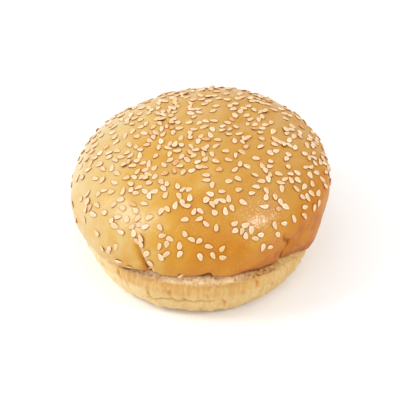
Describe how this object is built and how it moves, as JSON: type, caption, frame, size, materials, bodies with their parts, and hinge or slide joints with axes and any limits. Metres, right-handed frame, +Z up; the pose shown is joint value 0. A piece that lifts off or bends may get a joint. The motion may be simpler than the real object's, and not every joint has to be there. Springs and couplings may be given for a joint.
{
  "type": "burger bun",
  "caption": "Round whole burger bun with a domed glossy crown scattered with sesame seeds, a pinched crease round its side and a paler flat-bottomed heel.",
  "frame": {"origin": "middle of the heel's flat underside, on the surface that the bun rests on", "axes": "+Z up through the crown; -Y is the side where the crease between crown and heel stands highest; +X to the right seen from that side"},
  "size_m": [0.106, 0.1043, 0.0557],
  "materials": {
    "crust": "satin",
    "sesame": "satin"
  },
  "bodies": {
    "root": {"bun": "crust", "sesame_seed_01": "sesame", "sesame_seed_02": "sesame", "sesame_seed_03": "sesame", "sesame_seed_04": "sesame", "sesame_seed_05": "sesame", "sesame_seed_06": "sesame", "sesame_seed_07": "sesame", "sesame_seed_08": "sesame", "sesame_seed_09": "sesame", "sesame_seed_10": "sesame", "sesame_seed_11": "sesame", "sesame_seed_12": "sesame", "sesame_seed_13": "sesame", "sesame_seed_14": "sesame", "sesame_seed_15": "sesame", "sesame_seed_16": "sesame", "sesame_seed_17": "sesame", "sesame_seed_18": "sesame", "sesame_seed_19": "sesame", "sesame_seed_20": "sesame", "sesame_seed_21": "sesame", "sesame_seed_22": "sesame", "sesame_seed_23": "sesame", "sesame_seed_24": "sesame", "sesame_seed_25": "sesame", "sesame_seed_26": "sesame", "sesame_seed_27": "sesame", "sesame_seed_28": "sesame", "sesame_seed_29": "sesame", "sesame_seed_30": "sesame", "sesame_seed_31": "sesame", "sesame_seed_32": "sesame", "sesame_seed_33": "sesame", "sesame_seed_34": "sesame", "sesame_seed_35": "sesame", "sesame_seed_36": "sesame", "sesame_seed_37": "sesame", "sesame_seed_38": "sesame", "sesame_seed_39": "sesame", "sesame_seed_40": "sesame", "sesame_seed_41": "sesame", "sesame_seed_42": "sesame", "sesame_seed_43": "sesame", "sesame_seed_44": "sesame", "sesame_seed_45": "sesame", "sesame_seed_46": "sesame", "sesame_seed_47": "sesame", "sesame_seed_48": "sesame", "sesame_seed_49": "sesame", "sesame_seed_50": "sesame", "sesame_seed_51": "sesame", "sesame_seed_52": "sesame", "sesame_seed_53": "sesame", "sesame_seed_54": "sesame", "sesame_seed_55": "sesame", "sesame_seed_56": "sesame", "sesame_seed_57": "sesame", "sesame_seed_58": "sesame", "sesame_seed_59": "sesame"}
  },
  "joints": []
}
